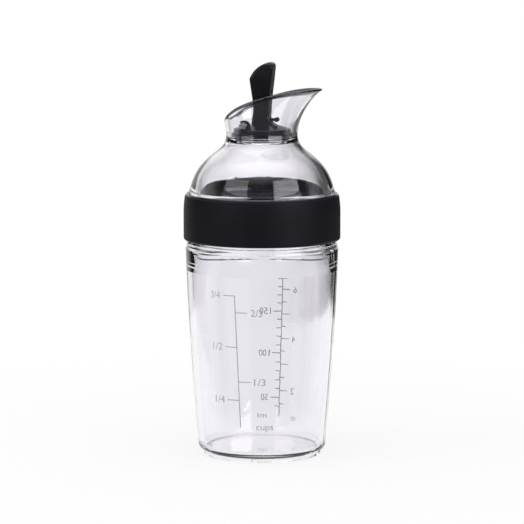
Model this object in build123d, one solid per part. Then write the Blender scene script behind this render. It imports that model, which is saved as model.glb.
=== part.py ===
from build123d import *
import math
import os

# A salad dressing shaker bottle. The axis of the bottle is Z, its foot stands on
# Z = 0, the pouring spout points to +X. All lengths are millimetres, angles degrees.

# Container, outside
foot_height = 1.7
foot_inset = 2.4
foot_ring_width = 2.6
drain_notch_width = 2.6
drain_notch_height = 1.4
drain_notch_count = 4
drain_notch_turn = 5.8
wall_top_radius = 33.6
wall_mid_inset = 2.15
wall_foot_inset = 5.4
wall_foot_rise = 3.5
wall_height = 86.0
shoulder_step = 0.5
shoulder_band_height = 2.4
shoulder_round = 0.8

# Container, inside
container_wall = 3.0
floor_thickness = 1.9
floor_corner_round = 1.6
mouth_slope_height = 12.0

# Neck and thread
shoulder_ledge = 3.4
neck_wall = 1.8
neck_height = 13.8
neck_lip_round = 0.5
thread_starts = 2
thread_lead = 8.0
thread_turns = 0.6
thread_depth = 0.9
thread_root_width = 1.5
thread_crest_width = 0.8
thread_clearance = 0.3
thread_flank_gap = 0.17
thread_foot_height = 3.1
thread_first_turn = 33.0

# Lid seal
seal_thickness = 2.05
seal_groove_depth = 0.6
seal_width = 2.4
seal_inset = 0.3

# Collar: a hard threaded ring inside a soft sleeve
collar_foot_gap = 1.2
ring_wall = 2.3
sleeve_thickness = 1.25
sleeve_top_thickness = 0.65
sleeve_crown_height = 7.78
sleeve_foot_round = 1.2
sleeve_top_round = 0.4
ring_recess = 0.3
ring_lip_thickness = 4.0
ring_lip_height = 0.75
ring_lip_stand = 0.25
ring_lip_round = 0.45
bond_gap = 0.02
running_gap = 0.08

# Pouring dome: each rise is from the level below it
flange_thickness = 2.4
flange_cover = 0.75
flange_overlap = 0.5
dome_skirt_height = 5.15
dome_crown_rise = 8.9
dome_turn_rise = 6.6
dome_neck_rise = 3.1
throat_rise = 6.9
dome_lean = 17.0
throat_radius = 15.6
spout_wall = 1.9
dome_base_wall = 4.35
dome_inner_drop = 1.9
dome_inner_lean = 8.0
dome_crown_inset = 3.0
dome_crown_drop = 1.2
dome_turn_inset = 0.8
dome_turn_drop = 2.4
dome_neck_inset = 1.75
dome_neck_drop = 1.35
throat_relief = 0.7
throat_relief_lean = 22.0
seat_ledge = 1.0
seat_cone_height = 0.6
seat_bore_height = 0.85
seat_underside_height = 1.2
seat_top_drop = 1.95

# Spout: rows of rise over the throat, and how far the front, rear and sides flare past it
spout_rises = (0, 3.5, 7.5, 11.2, 14.4, 17.4, 21.1)
spout_front_flares = (0, 0.6, 2.0, 4.05, 6.35, 9.3, 15.9)
spout_rear_flares = (0, 0.6, 1.2, 1.6, 1.9, 2.1, 2.3)
spout_side_flares = (0, 0.5, 1.0, 1.4, 1.7, 1.9, 2.1)

# Rim: how far its points rise over the throat and stand out from it, or lie inside it
rim_rear_rise = 3.3
rim_rear_flare = 2.0
rim_bend_rise = 9.1
rim_bend_inset = 3.6
rim_middle_rise = 14.9
rim_front_rise = 18.3
rim_front_inset = 1.6
rim_tip_rise = 19.5
rim_tip_flare = 13.6
rim_round = 0.5

# Hinge: two studs on the spout's side walls, gripped by hooks on the lever
hinge_reach = 5.4
hinge_rise = 3.5
stud_radius = 1.55
stud_core_radius = 0.7
stud_core_depth = 3.6
stud_length = 7.0
hook_thickness = 0.8
hook_gap = 0.08
hook_width = 2.2
hook_side_gap = 0.3
hook_mouth_angle = 100.0

# Stopper seal and its retainer
stopper_seat_gap = 0.05
stopper_lip_gap = 0.33
stopper_lip_thickness = 1.75
stopper_lip_chamfer = 0.7
stopper_plug_gap = 0.5
stopper_plug_height = 1.5
stopper_chamfer_height = 0.4
stopper_chamfer_reach = 0.3
retainer_rim = 2.2
retainer_thickness = 0.9
retainer_round = 0.3
stopper_body_thickness = 4.6

# Lever with the stopper's top: each rise is from the level below it
boss_rise = 1.95
boss_inset = 0.85
boss_chamfer = 0.3
pedestal_radius = 6.6
pedestal_rise = 1.7
lever_flare_rise = 5.2
lever_waist_rise = 3.4
lever_shoulder_rise = 11.3
lever_apex_rise = 7.3
lever_nose_drop = 2.2
lever_half_width = 3.2
lever_width_flare = 0.9
lever_rear_reach = 3.4
lever_front_reach = 3.8
lever_rear_spread = 0.8
lever_shoulder_lean = 1.5
lever_nose_lean = 1.7
lever_nose_depth = 2.0
lever_slope_bulge = 1.0
lever_edge_round = 0.9
peg_radius = 1.0
peg_rise = 2.3
peg_half_length = 1.3
peg_web = 1.2

# Overrun of cutting tools past the faces that they cut
overrun = 1.0

# Shares that place the middle point of an arc
round_share = 1 - math.sqrt(0.5)
foot_arc_rise_share = 0.3
foot_arc_reach_share = 0.72
sleeve_crown_share = 0.75
flare_reach_share = 0.2
flare_rise_share = 0.7
nose_bulge_share = 0.25

# Shares of the wall's height, and of the dome's width past the throat
wall_mid_share = 0.48605
dome_crown_share = 0.77676
dome_turn_share = 0.39755
dome_neck_share = 0.1682

# Container and neck
wall_foot_height = foot_height + wall_foot_rise
wall_top_height = wall_foot_height + wall_height
wall_mid_height = wall_foot_height + wall_height * wall_mid_share
wall_mid_radius = wall_top_radius - wall_mid_inset
wall_foot_radius = wall_top_radius - wall_foot_inset
foot_radius = wall_foot_radius - foot_inset
band_radius = wall_top_radius - shoulder_step
shoulder_height = wall_top_height + shoulder_band_height
neck_radius = band_radius - shoulder_ledge
neck_bore_radius = neck_radius - neck_wall
neck_top_height = shoulder_height + neck_height

# Collar
ring_bore_radius = neck_radius + thread_depth + thread_clearance
ring_radius = ring_bore_radius + ring_wall
collar_radius = ring_radius + sleeve_thickness
collar_foot_height = shoulder_height + collar_foot_gap
flange_height = neck_top_height + seal_thickness - seal_groove_depth
flange_top_height = flange_height + flange_thickness
ring_lip_foot_height = flange_top_height + running_gap
ring_lip_top_height = ring_lip_foot_height + ring_lip_thickness
sleeve_top_height = ring_lip_top_height - ring_lip_height

# Dome and throat
flange_radius = ring_radius - flange_cover
dome_base_radius = flange_radius - flange_overlap
dome_inner_radius = dome_base_radius - dome_base_wall
dome_crown_radius = throat_radius + (dome_base_radius - throat_radius) * dome_crown_share
dome_turn_radius = throat_radius + (dome_base_radius - throat_radius) * dome_turn_share
dome_neck_radius = throat_radius + (dome_base_radius - throat_radius) * dome_neck_share
dome_base_height = flange_top_height + dome_skirt_height
dome_crown_height = dome_base_height + dome_crown_rise
dome_turn_height = dome_crown_height + dome_turn_rise
dome_neck_height = dome_turn_height + dome_neck_rise
throat_height = dome_neck_height + throat_rise
throat_bore_radius = throat_radius - spout_wall
seat_top_height = throat_height - seat_top_drop
seat_cone_foot_height = seat_top_height - seat_cone_height
seat_foot_height = seat_cone_foot_height - seat_bore_height
seat_radius = throat_bore_radius - seat_ledge
hinge_height = throat_height + hinge_rise
stud_inner_reach = throat_radius - stud_length

# Stopper
stopper_lip_foot_height = seat_top_height + stopper_seat_gap
stopper_lip_height = stopper_lip_foot_height + stopper_lip_thickness
stopper_lip_radius = throat_bore_radius - stopper_lip_gap
stopper_plug_radius = seat_radius - stopper_plug_gap
stopper_plug_foot_radius = stopper_plug_radius - stopper_chamfer_reach
stopper_plug_foot_height = stopper_lip_foot_height - stopper_plug_height
spigot_radius = stopper_plug_foot_radius - stopper_body_thickness
retainer_radius = stopper_plug_foot_radius - retainer_rim
spigot_foot_height = stopper_plug_foot_height + retainer_thickness

# Lever
boss_radius = stopper_lip_radius - boss_inset
boss_height = stopper_lip_height + boss_rise
pedestal_height = boss_height + pedestal_rise
lever_flare_height = pedestal_height + lever_flare_rise
lever_waist_height = lever_flare_height + lever_waist_rise
lever_shoulder_height = lever_waist_height + lever_shoulder_rise
lever_apex_height = lever_shoulder_height + lever_apex_rise
lever_nose_height = lever_apex_height - lever_nose_drop
lever_shoulder_reach = lever_rear_reach + lever_shoulder_lean
lever_nose_reach = lever_front_reach + lever_nose_lean
lever_apex_reach = lever_nose_reach - lever_nose_depth
lever_half_width_top = lever_half_width + lever_width_flare
peg_reach = pedestal_radius
peg_height = pedestal_height + peg_rise


def spun(outline):
    """A solid of revolution about Z from the edges of an outline in radius and height."""
    return revolve(Plane.XZ * make_face(outline), axis=Axis.Z)


def tube(inner_radius, outer_radius, foot, top):
    """A plain ring between two radii and two heights."""
    corners = [(inner_radius, foot), (outer_radius, foot), (outer_radius, top), (inner_radius, top)]
    return spun(Polyline(*corners, close=True).edges())


def rising_in(lean):
    """The direction of a wall that rises and leans in towards the axis."""
    return (-math.sin(math.radians(lean)), math.cos(math.radians(lean)))


def along_y(outline, near, far):
    """A prism with its outline in X and Z, from one Y to another."""
    return extrude(Plane.XZ.offset(-near) * make_face(outline), amount=near - far)


def y_rod(radius, reach, height, near, far):
    """A round rod parallel to Y."""
    start = Plane(origin=(reach, near, height), x_dir=(1, 0, 0), z_dir=(0, 1, 0))
    return extrude(start * Circle(radius), amount=far - near)


def thread_ridges(root_radius, crest_radius, foot):
    """The helical ridges of one thread, tapered from the root radius to the crest radius."""
    sink = math.copysign(thread_clearance, root_radius - crest_radius)
    crest = crest_radius - root_radius
    half_crest = thread_crest_width / 2
    flank_slope = (thread_root_width / 2 - half_crest) / thread_depth
    half_sunk = thread_root_width / 2 + flank_slope * thread_clearance
    path = Helix(pitch=thread_lead, height=thread_lead * thread_turns, radius=root_radius)
    corners = [(sink, half_sunk), (crest, half_crest), (crest, -half_crest), (sink, -half_sunk)]
    section = make_face(Polyline(*corners, close=True).edges())
    first_plane = Plane(origin=path @ 0, x_dir=(1, 0, 0), z_dir=path % 0)
    ridge = sweep(first_plane * section, path=path, is_frenet=True)
    turns = [thread_first_turn + 360 * start / thread_starts for start in range(thread_starts)]
    return [Pos(0, 0, foot) * Rotation(0, 0, turn) * ridge for turn in turns]


def container_outline():
    """Outer wall, shoulder, neck and cavity of the container."""
    inner_foot = foot_height + floor_thickness
    inner_top = shoulder_height - mouth_slope_height
    lean = (wall_mid_radius - wall_foot_radius) / (wall_mid_height - wall_foot_height)
    inner_wall_foot = inner_foot + floor_corner_round
    inner_wall_foot_radius = wall_foot_radius - container_wall
    corner = floor_corner_round * round_share
    wall_corner_height = foot_height + (wall_foot_height - foot_height) * foot_arc_rise_share
    wall_corner_radius = foot_radius + (wall_foot_radius - foot_radius) * foot_arc_reach_share
    shoulder_corner = shoulder_round * round_share
    inner_wall = ThreePointArc(
        (wall_top_radius - container_wall, inner_top),
        (wall_mid_radius - container_wall, wall_mid_height),
        (inner_wall_foot_radius + lean * floor_corner_round, inner_wall_foot),
    )
    return [
        Line((0, foot_height), (foot_radius, foot_height)),
        ThreePointArc(
            (foot_radius, foot_height),
            (wall_corner_radius, wall_corner_height),
            (wall_foot_radius, wall_foot_height),
        ),
        ThreePointArc(
            (wall_foot_radius, wall_foot_height),
            (wall_mid_radius, wall_mid_height),
            (wall_top_radius, wall_top_height),
        ),
        Polyline(
            (wall_top_radius, wall_top_height),
            (band_radius, wall_top_height + shoulder_step),
            (band_radius, shoulder_height - shoulder_round),
        ),
        ThreePointArc(
            (band_radius, shoulder_height - shoulder_round),
            (band_radius - shoulder_corner, shoulder_height - shoulder_corner),
            (band_radius - shoulder_round, shoulder_height),
        ),
        Polyline(
            (band_radius - shoulder_round, shoulder_height),
            (neck_radius, shoulder_height),
            (neck_radius, neck_top_height - neck_lip_round),
            (neck_radius - neck_lip_round, neck_top_height),
            (neck_bore_radius + neck_lip_round, neck_top_height),
            (neck_bore_radius, neck_top_height - neck_lip_round),
            (neck_bore_radius, shoulder_height),
            (wall_top_radius - container_wall, inner_top),
        ),
        inner_wall,
        ThreePointArc(
            (inner_wall_foot_radius + lean * floor_corner_round, inner_wall_foot),
            (inner_wall_foot_radius - corner, inner_foot + corner),
            (inner_wall_foot_radius - floor_corner_round, inner_foot),
        ),
        Polyline(
            (inner_wall_foot_radius - floor_corner_round, inner_foot),
            (0, inner_foot),
            (0, foot_height),
        ),
    ]


def container():
    """The clear bottle body with its notched foot ring and threaded neck."""
    body = spun(container_outline())
    foot = tube(foot_radius - foot_ring_width, foot_radius, 0, foot_height)
    notch_length = foot_ring_width + overrun + overrun
    notch_reach = foot_radius - foot_ring_width / 2
    notch = Pos(notch_reach, 0, 0) * Box(notch_length, drain_notch_width, 2 * drain_notch_height)
    for index in range(drain_notch_count):
        foot -= Rotation(0, 0, drain_notch_turn + 360 * index / drain_notch_count) * notch
    body += foot
    for ridge in thread_ridges(neck_radius, neck_radius + thread_depth, shoulder_height + thread_foot_height):
        body += ridge
    return body


def collar_ring():
    """The hard ring that screws on the neck and holds the dome's flange under its lip."""
    foot = collar_foot_height + ring_recess
    shelf = neck_top_height - neck_lip_round
    lip_bore = dome_base_radius + running_gap
    lip_radius = ring_radius + ring_lip_stand
    ring = spun(
        Polyline(
            (ring_bore_radius, foot),
            (ring_radius, foot),
            (ring_radius, sleeve_top_height),
            (lip_radius, sleeve_top_height),
            (lip_radius, ring_lip_top_height - ring_lip_round),
            (lip_radius - ring_lip_round, ring_lip_top_height),
            (lip_bore + ring_lip_round, ring_lip_top_height),
            (lip_bore, ring_lip_top_height - ring_lip_round),
            (lip_bore, ring_lip_foot_height),
            (flange_radius + running_gap, ring_lip_foot_height),
            (flange_radius + running_gap, shelf),
            (ring_bore_radius, shelf),
            close=True,
        ).edges()
    )
    flank_offset = (thread_root_width + thread_crest_width) / 2 - thread_clearance / 2 + thread_flank_gap
    ridge_foot = shoulder_height + thread_foot_height - flank_offset
    for ridge in thread_ridges(ring_bore_radius, ring_bore_radius - thread_depth, ridge_foot):
        ring += ridge
    return ring


def grip_sleeve():
    """The soft sleeve around the collar ring."""
    inner = ring_radius + bond_gap
    straight_top = sleeve_top_height - sleeve_crown_height
    top = sleeve_top_height - bond_gap
    top_radius = ring_radius + sleeve_top_thickness
    foot_corner = sleeve_foot_round * round_share
    crown_radius = top_radius + (collar_radius - top_radius) * sleeve_crown_share
    return spun(
        [
            Line((inner, collar_foot_height), (collar_radius - sleeve_foot_round, collar_foot_height)),
            ThreePointArc(
                (collar_radius - sleeve_foot_round, collar_foot_height),
                (collar_radius - foot_corner, collar_foot_height + foot_corner),
                (collar_radius, collar_foot_height + sleeve_foot_round),
            ),
            Line((collar_radius, collar_foot_height + sleeve_foot_round), (collar_radius, straight_top)),
            ThreePointArc(
                (collar_radius, straight_top),
                (crown_radius, (straight_top + top - sleeve_top_round) / 2),
                (top_radius, top - sleeve_top_round),
            ),
            Polyline(
                (top_radius, top - sleeve_top_round),
                (top_radius - sleeve_top_round, top),
                (inner, top),
                (inner, collar_foot_height),
            ),
        ]
    )


def lid_seal():
    """The silicone ring between the neck's rim and the dome's flange."""
    inner = dome_inner_radius + seal_inset
    return tube(inner, inner + seal_width, neck_top_height, neck_top_height + seal_thickness - bond_gap)


def dome_outside():
    """The dome's outer form up to the throat, solid, with its flange."""
    return spun(
        [
            Polyline(
                (0, flange_height),
                (flange_radius, flange_height),
                (flange_radius, flange_top_height),
                (dome_base_radius, flange_top_height),
                (dome_base_radius, dome_base_height),
            ),
            Spline(
                (dome_base_radius, dome_base_height),
                (dome_crown_radius, dome_crown_height),
                (dome_turn_radius, dome_turn_height),
                (dome_neck_radius, dome_neck_height),
                (throat_radius, throat_height),
                tangents=[rising_in(dome_lean), rising_in(0)],
            ),
            Polyline((throat_radius, throat_height), (0, throat_height), (0, flange_height)),
        ]
    )


def dome_inside():
    """The dome's cavity with the stopper's seat at its top."""
    underside = (throat_bore_radius + throat_relief, seat_foot_height - seat_underside_height)
    return spun(
        [
            Polyline(
                (0, flange_height - overrun),
                (dome_inner_radius, flange_height - overrun),
                (dome_inner_radius, dome_base_height - dome_inner_drop),
            ),
            Spline(
                (dome_inner_radius, dome_base_height - dome_inner_drop),
                (dome_crown_radius - dome_crown_inset, dome_crown_height - dome_crown_drop),
                (dome_turn_radius - dome_turn_inset, dome_turn_height - dome_turn_drop),
                (dome_neck_radius - dome_neck_inset, dome_neck_height - dome_neck_drop),
                underside,
                tangents=[rising_in(dome_inner_lean), rising_in(throat_relief_lean)],
            ),
            Polyline(
                underside,
                (seat_radius, seat_foot_height),
                (seat_radius, seat_cone_foot_height),
                (throat_bore_radius, seat_top_height),
                (throat_bore_radius, throat_height),
                (0, throat_height),
                (0, flange_height - overrun),
            ),
        ]
    )


def spout_form(wall):
    """The spout's flaring form, drawn in from its outside by a wall, uncut at its top."""
    rings = []
    for rise, front, rear, side in zip(spout_rises, spout_front_flares, spout_rear_flares, spout_side_flares):
        level = Plane(origin=((front - rear) / 2, 0, throat_height + rise))
        half_length = throat_radius + (front + rear) / 2
        rings.append(level * Ellipse(half_length - wall, throat_radius + side - wall))
    return loft(rings)


def rim_cutter():
    """All that lies above the spout's rim, which rises from the rear to the tip."""
    ceiling = throat_height + max(rim_tip_rise, spout_rises[-1]) + overrun
    rear = -throat_radius - rim_rear_flare
    tip = throat_radius + rim_tip_flare
    rear_height = throat_height + rim_rear_rise
    tip_height = throat_height + rim_tip_rise
    edge = Spline(
        (rear, rear_height),
        (rim_bend_inset - throat_radius, throat_height + rim_bend_rise),
        (0, throat_height + rim_middle_rise),
        (throat_radius - rim_front_inset, throat_height + rim_front_rise),
        (tip, tip_height),
    )
    past_rear = rear - overrun
    past_tip = max(tip, throat_radius + spout_front_flares[-1]) + overrun
    sides = Polyline(
        (tip, tip_height),
        (past_tip, tip_height),
        (past_tip, ceiling),
        (past_rear, ceiling),
        (past_rear, rear_height),
        (rear, rear_height),
    )
    reach = throat_radius + spout_side_flares[-1] + overrun
    return along_y([edge, sides], -reach, reach)


def hinge_studs(outside):
    """Two cored studs that reach in from the side walls, trimmed to the spout's outside."""
    studs = []
    for side in (-1, 1):
        stud = y_rod(stud_radius, -hinge_reach, hinge_height, side * stud_inner_reach, side * throat_radius)
        core_end = side * (stud_inner_reach + stud_core_depth)
        core_start = side * (stud_inner_reach - overrun)
        core = y_rod(stud_core_radius, -hinge_reach, hinge_height, core_start, core_end)
        studs.append((stud & outside) - core)
    return studs


def pour_dome():
    """The clear dome, its throat with the stopper's seat, and the pouring spout."""
    spout = spout_form(0)
    shell = dome_outside() + spout
    shell -= dome_inside()
    shell -= spout_form(spout_wall)
    for stud in hinge_studs(spout):
        shell += stud
    groove_inner = dome_inner_radius + seal_inset - bond_gap
    groove_outer = groove_inner + seal_width + bond_gap + bond_gap
    shell -= tube(groove_inner, groove_outer, flange_height - overrun, flange_height + seal_groove_depth)
    shell -= rim_cutter()
    rim_foot = throat_height + rim_rear_rise
    rim_edges = [edge for edge in shell.edges() if edge.bounding_box().min.Z > rim_foot]
    long_edges = [edge for edge in rim_edges if edge.length > 2 * throat_radius]
    return fillet(long_edges, rim_round)


def lever_blade():
    """The upright thumb blade: its side outline and its front outline, crossed."""
    foot = boss_height - overrun
    nose_bulge = (lever_apex_height - lever_nose_height) * nose_bulge_share
    nose_mid_reach = (lever_apex_reach + lever_nose_reach) / 2 + nose_bulge
    nose_mid_height = (lever_apex_height + lever_nose_height) / 2 + nose_bulge
    slope_mid_reach = (lever_apex_reach - lever_shoulder_reach) / 2 - lever_slope_bulge
    slope_mid_height = (lever_apex_height + lever_shoulder_height) / 2 + lever_slope_bulge
    flare_mid_reach = lever_front_reach + (pedestal_radius - lever_front_reach) * flare_reach_share
    flare_mid_height = lever_flare_height + (pedestal_height - lever_flare_height) * flare_rise_share
    side = [
        Polyline(
            (pedestal_radius, pedestal_height),
            (pedestal_radius, foot),
            (-lever_rear_reach - lever_rear_spread, foot),
            (-lever_rear_reach - lever_rear_spread, pedestal_height),
            (-lever_rear_reach, lever_flare_height),
            (-lever_rear_reach, lever_waist_height),
            (-lever_shoulder_reach, lever_shoulder_height),
        ),
        ThreePointArc(
            (-lever_shoulder_reach, lever_shoulder_height),
            (slope_mid_reach, slope_mid_height),
            (lever_apex_reach, lever_apex_height),
        ),
        ThreePointArc(
            (lever_apex_reach, lever_apex_height),
            (nose_mid_reach, nose_mid_height),
            (lever_nose_reach, lever_nose_height),
        ),
        Polyline(
            (lever_nose_reach, lever_nose_height),
            (lever_front_reach, lever_waist_height),
            (lever_front_reach, lever_flare_height),
        ),
        ThreePointArc(
            (lever_front_reach, lever_flare_height),
            (flare_mid_reach, flare_mid_height),
            (pedestal_radius, pedestal_height),
        ),
    ]
    blade = along_y(side, -lever_half_width_top, lever_half_width_top)
    crown = lever_apex_height - lever_half_width_top
    front = [
        Polyline(
            (-lever_half_width_top, crown),
            (-lever_half_width_top, lever_shoulder_height),
            (-lever_half_width, lever_waist_height),
            (-lever_half_width, foot),
            (lever_half_width, foot),
            (lever_half_width, lever_waist_height),
            (lever_half_width_top, lever_shoulder_height),
            (lever_half_width_top, crown),
        ),
        ThreePointArc(
            (lever_half_width_top, crown),
            (0, lever_apex_height + lever_slope_bulge),
            (-lever_half_width_top, crown),
        ),
    ]
    reach = pedestal_radius + overrun
    block = extrude(Plane.YZ.offset(-reach) * make_face(front), amount=2 * reach)
    blade = blade & block
    outer_edges = [edge for edge in blade.edges() if edge.bounding_box().max.Z > boss_height]
    return fillet(outer_edges, lever_edge_round)


def lever_hook(near, far):
    """One open hook that clips over a stud, with its mouth to the rear."""
    inner = stud_radius + hook_gap
    outer = inner + hook_thickness
    hook = y_rod(outer, -hinge_reach, hinge_height, near, far)
    block_front = -hinge_reach + outer
    block = Pos(block_front / 2 - hinge_reach / 2, (near + far) / 2, (hinge_height + boss_height) / 2)
    hook += block * Box(outer, abs(far - near), hinge_height - boss_height)
    hook -= y_rod(inner, -hinge_reach, hinge_height, near - overrun, far + overrun)
    half_mouth = math.radians(hook_mouth_angle / 2)
    mouth_end = -hinge_reach - outer - overrun
    mouth_half = (outer + overrun) * math.tan(half_mouth)
    mouth = Polyline(
        (-hinge_reach, hinge_height),
        (mouth_end, hinge_height + mouth_half),
        (mouth_end, hinge_height - mouth_half),
        close=True,
    )
    return hook - along_y(mouth.edges(), near - overrun, far + overrun)


def lever():
    """The lever, its stopper head and the spigot that carries the seal, in one piece."""
    head = spun(
        Polyline(
            (0, spigot_foot_height),
            (spigot_radius, spigot_foot_height),
            (spigot_radius, stopper_lip_height + bond_gap),
            (boss_radius, stopper_lip_height + bond_gap),
            (boss_radius, boss_height - boss_chamfer),
            (boss_radius - boss_chamfer, boss_height),
            (pedestal_radius, pedestal_height),
            (0, pedestal_height),
            close=True,
        ).edges()
    )
    stud_room = stud_radius + hook_gap
    hook_near = stud_inner_reach + hook_side_gap
    hook_far = hook_near + hook_width
    for side in (-1, 1):
        near, far = sorted((side * (stud_inner_reach - hook_side_gap), side * (boss_radius + overrun)))
        head -= y_rod(stud_room + hook_side_gap, -hinge_reach, hinge_height, near, far)
        near, far = sorted((side * hook_near, side * hook_far))
        head += lever_hook(near, far)
    head += lever_blade()
    head += y_rod(peg_radius, peg_reach, peg_height, -peg_half_length, peg_half_length)
    web_length = peg_reach - lever_front_reach
    web = Box(web_length, 2 * peg_half_length - peg_web, peg_web)
    head += Pos(peg_reach - web_length / 2, 0, peg_height) * web
    return head


def stopper_seal():
    """The silicone stopper: a broad lip that closes the throat over a shallow plug."""
    top = stopper_lip_height
    lip_foot = stopper_lip_foot_height
    bore = spigot_radius + bond_gap
    return spun(
        Polyline(
            (bore, top),
            (stopper_lip_radius, top),
            (stopper_lip_radius, lip_foot + stopper_lip_chamfer),
            (stopper_lip_radius - stopper_lip_chamfer, lip_foot),
            (stopper_plug_radius, lip_foot),
            (stopper_plug_radius, stopper_plug_foot_height + stopper_chamfer_height),
            (stopper_plug_foot_radius, stopper_plug_foot_height),
            (retainer_radius + bond_gap, stopper_plug_foot_height),
            (retainer_radius + bond_gap, spigot_foot_height),
            (bore, spigot_foot_height),
            close=True,
        ).edges()
    )


def seal_retainer():
    """The disc let into the stopper's underside that holds its seal on the spigot."""
    top = spigot_foot_height - bond_gap
    foot = stopper_plug_foot_height
    return spun(
        Polyline(
            (0, foot),
            (retainer_radius - retainer_round, foot),
            (retainer_radius, foot + retainer_round),
            (retainer_radius, top),
            (0, top),
            close=True,
        ).edges()
    )


parts = {
    "container": container,
    "collar_ring": collar_ring,
    "grip_sleeve": grip_sleeve,
    "lid_seal": lid_seal,
    "pour_dome": pour_dome,
    "lever": lever,
    "stopper_seal": stopper_seal,
    "seal_retainer": seal_retainer,
}

os.makedirs("parts", exist_ok=True)
for name, make in parts.items():
    export_step(make(), f"parts/{name}.step")
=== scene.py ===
import math

import bpy
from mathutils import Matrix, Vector
from mathutils.bvhtree import BVHTree


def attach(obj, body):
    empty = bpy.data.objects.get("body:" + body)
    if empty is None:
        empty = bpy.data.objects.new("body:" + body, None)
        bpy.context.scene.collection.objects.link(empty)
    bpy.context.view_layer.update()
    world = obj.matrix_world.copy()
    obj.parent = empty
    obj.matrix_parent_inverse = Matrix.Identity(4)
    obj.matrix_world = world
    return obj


# The clear parts' look comes from what they refract: a white backdrop behind the bottle,
# with a dim studio beyond it. Angles are degrees, places metres, print sizes millimetres.

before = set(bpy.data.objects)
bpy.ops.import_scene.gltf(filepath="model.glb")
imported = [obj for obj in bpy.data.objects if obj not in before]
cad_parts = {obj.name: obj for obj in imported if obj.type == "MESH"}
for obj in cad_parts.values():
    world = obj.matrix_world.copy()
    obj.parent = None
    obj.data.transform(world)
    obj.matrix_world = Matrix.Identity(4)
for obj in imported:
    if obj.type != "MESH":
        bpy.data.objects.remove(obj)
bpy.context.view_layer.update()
scene = bpy.context.scene
scene.view_settings.view_transform = "Standard"
mm = 0.001
main_azimuth = math.radians(13.0)


# Node helpers

NOISE_DETAIL = 3.0
NOISE_RANGE = (0.3, 0.7)


class Graph:
    """A node tree, with one short call for each kind of node used here."""

    def __init__(self, tree):
        self.nodes = tree.nodes
        self.links = tree.links

    def feed(self, sockets, values):
        """Gives each socket its value: a number, a colour, a vector or another node's output."""
        for socket, value in zip(sockets, values):
            if isinstance(value, bpy.types.NodeSocket):
                self.links.new(value, socket)
            else:
                socket.default_value = value

    def add(self, kind, **values):
        """A node with some inputs given, an underscore standing for a space in their names."""
        node = self.nodes.new("ShaderNode" + kind)
        self.feed([node.inputs[name.replace("_", " ")] for name in values], values.values())
        return node

    def math(self, operation, *values, clamp=False):
        node = self.nodes.new("ShaderNodeMath")
        node.operation = operation
        node.use_clamp = clamp
        self.feed(node.inputs, values)
        return node.outputs[0]

    def vector_math(self, operation, *values):
        node = self.nodes.new("ShaderNodeVectorMath")
        node.operation = operation
        self.feed(node.inputs, values)
        return node.outputs["Value"]

    def remap(self, value, low, high, out_low=0.0, out_high=1.0, smooth=False):
        """A value carried from one range to another and held at its ends."""
        node = self.add("MapRange", Value=value, From_Min=low, From_Max=high, To_Min=out_low, To_Max=out_high)
        if smooth:
            node.interpolation_type = "SMOOTHSTEP"
        return node.outputs["Result"]

    def step(self, value, low, high, out_low=0.0, out_high=1.0):
        """A smooth step from one level to another between two places."""
        return self.remap(value, low, high, out_low, out_high, smooth=True)

    def window(self, value, rise_start, rise_end, fall_start, fall_end):
        """1 between two places and 0 outside them, with smooth ends."""
        rising = self.step(value, rise_start, rise_end)
        return self.math("MULTIPLY", rising, self.step(value, fall_start, fall_end, 1.0, 0.0))

    def blend(self, factor, first, second):
        """A number between two others."""
        node = self.nodes.new("ShaderNodeMix")
        node.data_type = "FLOAT"
        self.feed((node.inputs[0], node.inputs[2], node.inputs[3]), (factor, first, second))
        return node.outputs[0]

    def tint(self, factor, first, second):
        """A colour between two others."""
        node = self.nodes.new("ShaderNodeMix")
        node.data_type = "RGBA"
        colours = [socket for socket in node.inputs if socket.type == "RGBA"]
        self.feed((node.inputs[0], *colours), (factor, first, second))
        return [socket for socket in node.outputs if socket.type == "RGBA"][0]

    def mix_shaders(self, factor, first, second):
        node = self.nodes.new("ShaderNodeMixShader")
        self.feed(node.inputs, (factor, first.outputs[0], second.outputs[0]))
        return node

    def noise(self, scale, detail=NOISE_DETAIL):
        """Fine unevenness over an object's own coordinates, from 0 to 1."""
        place = self.add("TexCoord").outputs["Object"]
        return self.add("TexNoise", Vector=place, Scale=scale, Detail=detail).outputs["Fac"]

    def spread(self, noise, low, high):
        """A value between two others that follows the noise."""
        return self.remap(noise, *NOISE_RANGE, low, high)

    def relief(self, noise, depth):
        """Surface relief from the noise, its depth in metres."""
        return self.add("Bump", Height=noise, Strength=1.0, Distance=depth).outputs["Normal"]


def new_material(name):
    """An empty material, its graph and the socket that takes its shader."""
    material = bpy.data.materials.new(name)
    material.use_nodes = True
    graph = Graph(material.node_tree)
    graph.nodes.clear()
    return material, graph, graph.add("OutputMaterial").inputs["Surface"]


# Clear plastic, with a band of painted shade along the spout's rim

CLEAR_IOR = 1.56
CLEAR_FIRST = (0.958, 0.946, 0.979, 1)
CLEAR_SECOND = (0.950, 0.938, 0.972, 1)
CLEAR_SHADOW = (0.93, 0.93, 0.94, 1)
WAVE_SCALE = 40.0
WAVE_DEPTH = 0.04 * mm
HAZE_SCALE = 90.0
HAZE_ROUGHNESS = 0.012
RIM_CLEAR_RADIUS = 14.0 * mm
RIM_FOOT = 144.8 * mm
RIM_STEP = 4.0 * mm
RIM_SHADE_BAND = 1.4 * mm
RIM_SHADE_FADE = 0.4 * mm
# Painted shade: the dark colour put on the spout's rim.
RIM_PAINTED_SHADE = (0.11, 0.11, 0.125, 1)


def rim_points(mesh):
    """The spout's rim as places and heights along X, read from the dome's own mesh."""
    tops = {}
    for vertex in mesh.vertices:
        if math.hypot(vertex.co.x, vertex.co.y) > RIM_CLEAR_RADIUS:
            key = round(vertex.co.x / RIM_STEP)
            if vertex.co.z > tops.get(key, (0, 0))[1]:
                tops[key] = (vertex.co.x, vertex.co.z)
    return [tops[key] for key in sorted(tops) if tops[key][1] > RIM_FOOT]


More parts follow.
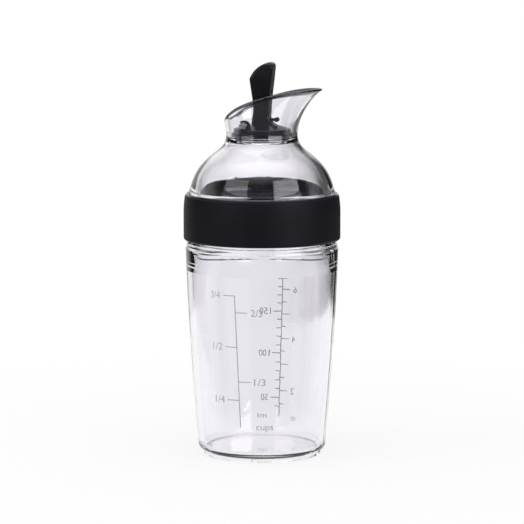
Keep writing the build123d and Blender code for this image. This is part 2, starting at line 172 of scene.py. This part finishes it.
def near_rim(graph, points):
    """The mask of the painted rim shade: 1 at the spout's rim, falling to 0 just below it."""
    (low_x, low_z), (high_x, high_z) = points[0], points[-1]
    place = graph.add("SeparateXYZ", Vector=graph.add("TexCoord").outputs["Object"])
    curve = graph.add("FloatCurve", Value=graph.remap(place.outputs["X"], low_x, high_x))
    line = curve.mapping.curves[0]
    for x, z in points[1:-1]:
        line.points.new((x - low_x) / (high_x - low_x), (z - low_z) / (high_z - low_z))
    curve.mapping.update()
    rim_height = graph.remap(curve.outputs["Value"], 0.0, 1.0, low_z, high_z)
    above = graph.math("SUBTRACT", place.outputs["Z"], rim_height)
    return graph.remap(above, -RIM_SHADE_BAND - RIM_SHADE_FADE, -RIM_SHADE_BAND)


def clear_plastic(name, rim=None):
    """Clear lavender-grey plastic with the faint waviness of a moulding, with painted shade along a rim."""
    material, graph, surface = new_material(name)
    broad = graph.noise(WAVE_SCALE)
    colour = graph.tint(broad, CLEAR_FIRST, CLEAR_SECOND)
    if rim:
        # Painted shade: a dark tint along the rim stands in for the darkness its wall carries up from the
        # black parts below.
        colour = graph.tint(near_rim(graph, rim), colour, RIM_PAINTED_SHADE)
    plastic = graph.add("BsdfPrincipled", Base_Color=colour, IOR=CLEAR_IOR, Transmission_Weight=1.0)
    roughness = graph.spread(graph.noise(HAZE_SCALE), 0.0, HAZE_ROUGHNESS)
    graph.links.new(roughness, plastic.inputs["Roughness"])
    graph.links.new(graph.relief(broad, WAVE_DEPTH), plastic.inputs["Normal"])
    shadow = graph.add("BsdfTransparent", Color=CLEAR_SHADOW)
    in_shadow = graph.add("LightPath").outputs["Is Shadow Ray"]
    graph.links.new(graph.mix_shaders(in_shadow, plastic, shadow).outputs[0], surface)
    return material


# Black plastics, silicone and ink

DARK_IOR = 1.5
DARK_PATCH_SCALE = 120.0
DARK_GRAIN_DETAIL = 2.0
SHEEN_TINT = (0.84, 0.88, 1.0, 1)
INK_IOR = 1.45
INK_SPECULAR = 0.2
INK_PATCH_SCALE = 700.0
INK_THIN = 1.3
INK_ROUGHNESS = (0.45, 0.65)


def dark_material(name, colours, roughness, specular, grain_scale, grain_depth):
    """A near-black material whose colour, gloss and relief vary over its surface."""
    material, graph, surface = new_material(name)
    broad = graph.noise(DARK_PATCH_SCALE)
    fine = graph.noise(grain_scale, DARK_GRAIN_DETAIL)
    first, second = colours
    shader = graph.add(
        "BsdfPrincipled",
        Base_Color=graph.tint(broad, (*first, 1), (*second, 1)),
        Roughness=graph.spread(broad, *roughness),
        Normal=graph.relief(fine, grain_depth),
        IOR=DARK_IOR,
        Specular_IOR_Level=specular,
        Specular_Tint=SHEEN_TINT,
    )
    graph.links.new(shader.outputs[0], surface)
    return material


def ink(name, shade):
    """Grey printing ink, thinner in places."""
    material, graph, surface = new_material(name)
    patches = graph.noise(INK_PATCH_SCALE)
    thin = tuple(INK_THIN * level for level in shade)
    shader = graph.add(
        "BsdfPrincipled",
        Base_Color=graph.tint(patches, (*shade, 1), (*thin, 1)),
        Roughness=graph.spread(patches, *INK_ROUGHNESS),
        IOR=INK_IOR,
        Specular_IOR_Level=INK_SPECULAR,
    )
    graph.links.new(shader.outputs[0], surface)
    return material


clear = clear_plastic("clear_plastic")
clear_spout = clear_plastic("clear_spout", rim_points(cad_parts["pour_dome"].data))
lever_black = dark_material(
    "lever_black",
    colours=((0.004, 0.004, 0.006), (0.007, 0.007, 0.010)),
    roughness=(0.16, 0.22),
    specular=0.3,
    grain_scale=1500.0,
    grain_depth=0.004 * mm,
)
ring_black = dark_material(
    "ring_black",
    colours=((0.005, 0.005, 0.008), (0.008, 0.008, 0.011)),
    roughness=(0.04, 0.07),
    specular=0.5,
    grain_scale=900.0,
    grain_depth=0.001 * mm,
)
grip = dark_material(
    "soft_grip",
    colours=((0.0040, 0.0040, 0.0062), (0.0060, 0.0060, 0.0082)),
    roughness=(0.48, 0.56),
    specular=0.16,
    grain_scale=2600.0,
    grain_depth=0.02 * mm,
)
silicone = dark_material(
    "dark_silicone",
    colours=((0.007, 0.011, 0.024), (0.010, 0.016, 0.033)),
    roughness=(0.34, 0.42),
    specular=0.2,
    grain_scale=1100.0,
    grain_depth=0.006 * mm,
)
front_ink = ink("front_ink", (0.30, 0.30, 0.31))
back_ink = ink("back_ink", (0.36, 0.36, 0.37))

finishes = {
    "container": clear,
    "pour_dome": clear_spout,
    "collar_ring": ring_black,
    "grip_sleeve": grip,
    "lid_seal": silicone,
    "lever": lever_black,
    "stopper_seal": silicone,
    "seal_retainer": ring_black,
}
for node_name, finish in finishes.items():
    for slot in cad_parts[node_name].material_slots:
        slot.material = finish


# Printed scales: cups on the front, millilitres and ounces on the back

PRINT_STAND = 0.03
LINE_WIDTH = 0.42
TICK_WIDTH = 0.38
STROKE_STEP = 1.5
LETTER_CURVE_STEPS = 3
FRONT_CENTRE = 0.0
BACK_CENTRE = 180.0
RAY_START = 0.1
WRAP_ROUNDS = 3

container_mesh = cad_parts["container"].data
wall = BVHTree.FromPolygons(
    [vertex.co.copy() for vertex in container_mesh.vertices],
    [tuple(polygon.vertices) for polygon in container_mesh.polygons],
)


def on_wall(centre, across, height):
    """The place on the container's outside at a height, reached by a way round it from a centre angle."""
    turn = math.radians(centre)
    for _ in range(WRAP_ROUNDS):
        out = Vector((math.sin(main_azimuth + turn), -math.cos(main_azimuth + turn), 0))
        spot, normal, _, _ = wall.ray_cast(out * RAY_START + Vector((0, 0, height * mm)), -out)
        radius = Vector((spot.x, spot.y)).length
        turn = math.radians(centre) + across * mm / radius
    return spot + normal * PRINT_STAND * mm


class Print:
    """Flat shapes gathered in millimetres across and up, then wrapped on the wall as one mesh."""

    def __init__(self, name, centre, material):
        self.name = name
        self.centre = centre
        self.material = material
        self.points = []
        self.faces = []

    def stroke(self, start, end, width):
        """A straight line of a width, in short steps that follow the wall."""
        (x0, z0), (x1, z1) = start, end
        length = math.hypot(x1 - x0, z1 - z0)
        steps = max(1, math.ceil(length / STROKE_STEP))
        side = Vector((-(z1 - z0), x1 - x0)) / length * width / 2
        first = len(self.points)
        for index in range(steps + 1):
            share = index / steps
            x = x0 + (x1 - x0) * share
            z = z0 + (z1 - z0) * share
            self.points += [(x - side.x, z - side.y), (x + side.x, z + side.y)]
        for index in range(steps):
            corner = first + 2 * index
            self.faces.append((corner, corner + 2, corner + 3, corner + 1))

    def tick(self, start, length, height):
        """A level line from the long line, to the right or, if its length is negative, to the left."""
        self.stroke((start, height), (start + length, height), TICK_WIDTH)

    def words(self, body, middle, width, height):
        """Plain lettering fitted into a width and height about its middle."""
        curve = bpy.data.curves.new(body, "FONT")
        curve.body = body
        curve.resolution_u = LETTER_CURVE_STEPS
        holder = bpy.data.objects.new(body, curve)
        scene.collection.objects.link(holder)
        shown = holder.evaluated_get(bpy.context.evaluated_depsgraph_get())
        mesh = bpy.data.meshes.new_from_object(shown)
        low = [min(vertex.co[axis] for vertex in mesh.vertices) for axis in (0, 1)]
        high = [max(vertex.co[axis] for vertex in mesh.vertices) for axis in (0, 1)]
        first = len(self.points)
        for vertex in mesh.vertices:
            x = (vertex.co.x - low[0]) / (high[0] - low[0]) - 0.5
            z = (vertex.co.y - low[1]) / (high[1] - low[1]) - 0.5
            self.points.append((middle[0] + x * width, middle[1] + z * height))
        self.faces += [tuple(first + index for index in polygon.vertices) for polygon in mesh.polygons]
        bpy.data.objects.remove(holder)
        bpy.data.curves.remove(curve)
        bpy.data.meshes.remove(mesh)

    def wrap(self):
        """The gathered shapes as one mesh on the wall, riding with the container."""
        mesh = bpy.data.meshes.new(self.name)
        places = [on_wall(self.centre, x, z) for x, z in self.points]
        mesh.from_pydata(places, [], self.faces)
        mesh.materials.append(self.material)
        piece = bpy.data.objects.new(self.name, mesh)
        scene.collection.objects.link(piece)
        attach(piece, "container")


def across_line(line, height):
    """How far across the long line of a scale is at a height."""
    (foot_x, foot_z), (top_x, top_z) = line
    return foot_x + (top_x - foot_x) * (height - foot_z) / (top_z - foot_z)


def mark_height(main_heights, value):
    """The height of a value on a scale whose main marks are evenly apart, also below the first of them."""
    marks = sorted(main_heights)
    gap = marks[1] - marks[0]
    below = min(max(value // gap * gap, marks[0]), marks[-2])
    share = (value - below) / gap
    return main_heights[below] + (main_heights[below + gap] - main_heights[below]) * share


CUP_LINE = ((-9.4, 15.9), (-12.1, 74.1))
CUP_MARKS = (("3/4", 73.9, -1), ("2/3", 66.6, 1), ("1/2", 51.4, -1), ("1/3", 36.2, 1), ("1/4", 28.0, -1))
CUP_TICK = 5.4
CUP_LABEL_SIZE = (4.9, 3.1)
CUP_LABEL_GAP = {-1: 4.1, 1: 4.0}
CUP_WORD = ("cups", (1.2, 15.5), 7.4, 2.7)


def cup_scale():
    """Fractions of a cup, with ticks to the left and right of one long line."""
    prints = Print("cup_scale", FRONT_CENTRE, front_ink)
    prints.stroke(*CUP_LINE, LINE_WIDTH)
    for body, height, side in CUP_MARKS:
        start = across_line(CUP_LINE, height)
        prints.tick(start, side * CUP_TICK, height)
        prints.words(body, (start + side * (CUP_TICK + CUP_LABEL_GAP[side]), height), *CUP_LABEL_SIZE)
    prints.words(*CUP_WORD)
    prints.wrap()


BACK_LINE = ((-8.4, 11.2), (-10.4, 77.7))
NUMBER_HEIGHT = 2.9
MILLILITRE_HEIGHTS = {50: 19.6, 100: 39.4, 150: 58.3, 200: 76.2}
MILLILITRE_TICKS = range(40, 201, 10)
MILLILITRE_LONG = 4.4
MILLILITRE_SHORT = 2.4
MILLILITRE_LABEL_START = 5.6
DIGIT_WIDTH = 1.8
MILLILITRE_WORD = ("ml", (0.0, 11.5), 4.4, 2.1)
OUNCE_HEIGHTS = {2: 22.8, 3: 34.6, 4: 46.0, 5: 57.1, 6: 68.0, 7: 77.7}
HALF_OUNCE_TICKS = range(3, 15)
OUNCE_LONG = 4.0
OUNCE_SHORT = 2.2
OUNCE_LABELS = (2, 4, 6)
OUNCE_LABEL_MIDDLE = 6.6
OUNCE_LABEL_WIDTH = 1.9
OUNCE_WORD = ("oz", (-16.2, 10.7), 3.2, 1.7)


def ounce_scale():
    """Millilitres on one side and ounces on the other side of one long line."""
    prints = Print("ounce_scale", BACK_CENTRE, back_ink)
    prints.stroke(*BACK_LINE, LINE_WIDTH)
    for volume in MILLILITRE_TICKS:
        height = mark_height(MILLILITRE_HEIGHTS, volume)
        start = across_line(BACK_LINE, height)
        numbered = volume in MILLILITRE_HEIGHTS
        prints.tick(start, MILLILITRE_LONG if numbered else MILLILITRE_SHORT, height)
        if numbered:
            number = str(volume)
            width = len(number) * DIGIT_WIDTH
            prints.words(number, (start + MILLILITRE_LABEL_START + width / 2, height), width, NUMBER_HEIGHT)
    for half in HALF_OUNCE_TICKS:
        ounces = half / 2
        height = mark_height(OUNCE_HEIGHTS, ounces)
        start = across_line(BACK_LINE, height)
        prints.tick(start, -OUNCE_SHORT if half % 2 else -OUNCE_LONG, height)
        if ounces in OUNCE_LABELS:
            middle = (start - OUNCE_LABEL_MIDDLE, height)
            prints.words(str(half // 2), middle, OUNCE_LABEL_WIDTH, NUMBER_HEIGHT)
    prints.words(*MILLILITRE_WORD)
    prints.words(*OUNCE_WORD)
    prints.wrap()


cup_scale()
ounce_scale()


# Surroundings: a white backdrop behind the bottle, a dim studio at its sides

# A turn is an angle to the right of the camera's heading, and a rise is an angle above level.
# Four angles are where a part of the surroundings starts, is full, starts to end and ends.
DARK_RIGHT = (-3.0, 32.0, 58.0, 78.0)
DARK_RIGHT_DEPTH = 0.88
DARK_LEFT = (-62.0, -52.0, -44.0, -37.0)
DARK_LEFT_DEPTH = 0.45
DARK_RISE = (18.0, 40.0)
ABOVE = (24.0, 40.0)
ABOVE_DEPTH = 0.8
BACKDROP = (-50.0, -34.0, 12.0, 26.0)
BACKDROP_GLOSS = 0.7
STRIP_LEFT = (-156.0, -152.0, -112.0, -108.0)
STRIP_LEFT_GLOSS = 6.6
STRIP_RIGHT = (110.0, 114.0, 157.0, 161.0)
STRIP_RIGHT_GLOSS = 14.0
STRIP_RISE = (-12.0, 0.0, 20.0, 26.0)
CEILING = (35.0, 65.0)
CEILING_GLOSS = 2.0
STUDIO_GLOSS = 0.07
BEHIND = (82.0, 100.0)
AMBIENT = 0.62
SKY_STRIPS = 0.33
FLOOR_STRIPS = 0.03


def surround_group():
    """Brightness of the studio in a direction, for rays through clear plastic and for reflections."""
    group = bpy.data.node_groups.new("surround", "ShaderNodeTree")
    group.interface.new_socket("Direction", in_out="INPUT", socket_type="NodeSocketVector")
    group.interface.new_socket("Strips", in_out="INPUT", socket_type="NodeSocketFloat")
    group.interface.new_socket("Through", in_out="OUTPUT", socket_type="NodeSocketFloat")
    group.interface.new_socket("Gloss", in_out="OUTPUT", socket_type="NodeSocketFloat")
    group.interface.new_socket("Behind", in_out="OUTPUT", socket_type="NodeSocketFloat")
    graph = Graph(group)
    start = graph.nodes.new("NodeGroupInput")
    end = graph.nodes.new("NodeGroupOutput")

    def times(first, second):
        return graph.math("MULTIPLY", first, second)

    def plus(first, second):
        return graph.math("ADD", first, second)

    def along(vector):
        return graph.vector_math("DOT_PRODUCT", start.outputs["Direction"], vector)

    def degrees(opposite, adjacent):
        return times(graph.math("ARCTAN2", opposite, adjacent), math.degrees(1.0))

    right = along((math.cos(main_azimuth), math.sin(main_azimuth), 0))
    ahead = along((-math.sin(main_azimuth), math.cos(main_azimuth), 0))
    up = along((0, 0, 1))
    level = graph.math("SQRT", plus(graph.math("POWER", right, 2.0), graph.math("POWER", ahead, 2.0)))
    turn = degrees(right, ahead)
    rise = degrees(up, level)

    dark_right = times(graph.window(turn, *DARK_RIGHT), DARK_RIGHT_DEPTH)
    dark_left = times(graph.window(turn, *DARK_LEFT), DARK_LEFT_DEPTH)
    dark = times(plus(dark_right, dark_left), graph.step(rise, *DARK_RISE, 1.0, 0.0))
    through = times(graph.math("SUBTRACT", 1.0, dark), graph.step(rise, *ABOVE, 1.0, 1.0 - ABOVE_DEPTH))

    backdrop = times(graph.window(turn, *BACKDROP), BACKDROP_GLOSS)
    strip_left = times(graph.window(turn, *STRIP_LEFT), STRIP_LEFT_GLOSS)
    strip_right = times(graph.window(turn, *STRIP_RIGHT), STRIP_RIGHT_GLOSS)
    strips = times(plus(strip_left, strip_right), graph.window(rise, *STRIP_RISE))
    gloss = plus(plus(STUDIO_GLOSS, backdrop), times(strips, start.outputs["Strips"]))
    gloss = plus(gloss, graph.step(rise, *CEILING, 0.0, CEILING_GLOSS))

    behind = graph.step(graph.math("ABSOLUTE", turn), *BEHIND)
    for name, value in (("Through", through), ("Gloss", gloss), ("Behind", behind)):
        graph.links.new(value, end.inputs[name])
    return group


surround = surround_group()


def brightness(graph, direction, strips):
    """The surroundings for the ray at hand: white for the camera, the studio otherwise.

    Also gives the light path, and how much the ray was reflected before it went to the camera's side.
    """
    group = graph.nodes.new("ShaderNodeGroup")
    group.node_tree = surround
    graph.feed((group.inputs["Direction"], group.inputs["Strips"]), (direction, strips))
    gloss = group.outputs["Gloss"]
    path = graph.add("LightPath")
    mirrored = graph.math("MULTIPLY", path.outputs["Glossy Depth"], group.outputs["Behind"], clamp=True)
    through = graph.blend(mirrored, group.outputs["Through"], gloss)
    seen = graph.blend(path.outputs["Is Glossy Ray"], AMBIENT, gloss)
    seen = graph.blend(path.outputs["Is Transmission Ray"], seen, through)
    return graph.blend(path.outputs["Is Camera Ray"], seen, 1.0), path, mirrored


# The table: white near the bottle, and the studio's brightness past its edge

FLOOR_HALF = 40.0
FLOOR_LEVEL = -0.2 * mm
FLOOR_COLOUR = (0.93, 0.93, 0.93, 1)
TABLE_RADIUS = 0.335
TABLE_FRONT_RADIUS = 0.62
TABLE_FADE = 0.05
FRONT_DIM = (0.06, 0.12)
FRONT_LEVEL = 0.2
SHADOW_FADE = (0.05, 0.30)
SHADOW_GLOW = 0.72


def floor_material():
    """Matte white that takes the bottle's shadow, mixed with a glow that keeps it white to the camera."""
    material, graph, surface = new_material("floor_white")
    place = graph.add("NewGeometry").outputs["Position"]
    away = graph.vector_math("LENGTH", place)
    studio, path, mirrored = brightness(graph, place, FLOOR_STRIPS)
    inset = graph.math("MULTIPLY_ADD", mirrored, TABLE_RADIUS - TABLE_FRONT_RADIUS, away)
    past_edge = graph.step(inset, TABLE_RADIUS, TABLE_RADIUS + TABLE_FADE)
    dimmed = graph.math("MULTIPLY", mirrored, graph.step(away, *FRONT_DIM))
    table = graph.step(dimmed, 0.0, 1.0, 1.0, FRONT_LEVEL)
    glow = graph.add("Emission", Strength=graph.blend(past_edge, table, studio))
    matte = graph.add("BsdfDiffuse", Color=FLOOR_COLOUR)
    share = graph.step(away, *SHADOW_FADE, SHADOW_GLOW, 1.0)
    share = graph.math("MULTIPLY", share, graph.math("SUBTRACT", 1.0, path.outputs["Is Diffuse Ray"]))
    graph.links.new(graph.mix_shaders(share, matte, glow).outputs[0], surface)
    return material


def floor_piece():
    mesh = bpy.data.meshes.new("floor")
    signs = ((-1, -1), (1, -1), (1, 1), (-1, 1))
    corners = [(x * FLOOR_HALF, y * FLOOR_HALF, FLOOR_LEVEL) for x, y in signs]
    mesh.from_pydata(corners, [], [(0, 1, 2, 3)])
    mesh.materials.append(floor_material())
    piece = bpy.data.objects.new("floor", mesh)
    scene.collection.objects.link(piece)


floor_piece()


# World and lamps

def studio_world():
    world = bpy.data.worlds.new("studio")
    world.use_nodes = True
    graph = Graph(world.node_tree)
    graph.nodes.clear()
    direction = graph.add("TexCoord").outputs["Generated"]
    level, _, _ = brightness(graph, direction, SKY_STRIPS)
    sky = graph.add("Background", Color=(1, 1, 1, 1), Strength=level)
    graph.links.new(sky.outputs[0], graph.add("OutputWorld").inputs["Surface"])
    scene.world = world


def area_lamp(name, place, aim_height, size, power):
    """A soft lamp that lights surfaces and doesn't show in reflections or through clear plastic."""
    data = bpy.data.lights.new(name, "AREA")
    data.shape = "RECTANGLE"
    data.size, data.size_y = size
    data.energy = power
    lamp = bpy.data.objects.new(name, data)
    lamp.location = place
    aim = Vector((0, 0, aim_height)) - Vector(place)
    lamp.rotation_euler = aim.to_track_quat("-Z", "Y").to_euler()
    lamp.visible_glossy = False
    lamp.visible_transmission = False
    scene.collection.objects.link(lamp)


studio_world()
area_lamp("lamp_left", place=(-0.9, -0.5, 0.5), aim_height=0.09, size=(0.35, 0.9), power=4.0)
area_lamp("lamp_top", place=(0.1, -0.2, 1.1), aim_height=0.1, size=(0.8, 0.8), power=4.0)


# Camera

CAMERA_DISTANCE = 1.1784
CAMERA_HEIGHT = 0.2356
AIM_HEIGHT = 0.0847
SENSOR_WIDTH_MM = 36.0
LENS_MM = 185.5
CLIP = (0.05, 100.0)

camera_data = bpy.data.cameras.new("camera")
camera = bpy.data.objects.new("camera", camera_data)
scene.collection.objects.link(camera)
camera_data.sensor_fit = "HORIZONTAL"
camera_data.sensor_width = SENSOR_WIDTH_MM
camera_data.lens = LENS_MM
camera_data.clip_start, camera_data.clip_end = CLIP
camera.location = (
    CAMERA_DISTANCE * math.sin(main_azimuth),
    -CAMERA_DISTANCE * math.cos(main_azimuth),
    CAMERA_HEIGHT,
)
target = Vector((0, 0, AIM_HEIGHT))
camera.rotation_euler = (target - camera.location).to_track_quat("-Z", "Y").to_euler()
scene.camera = camera
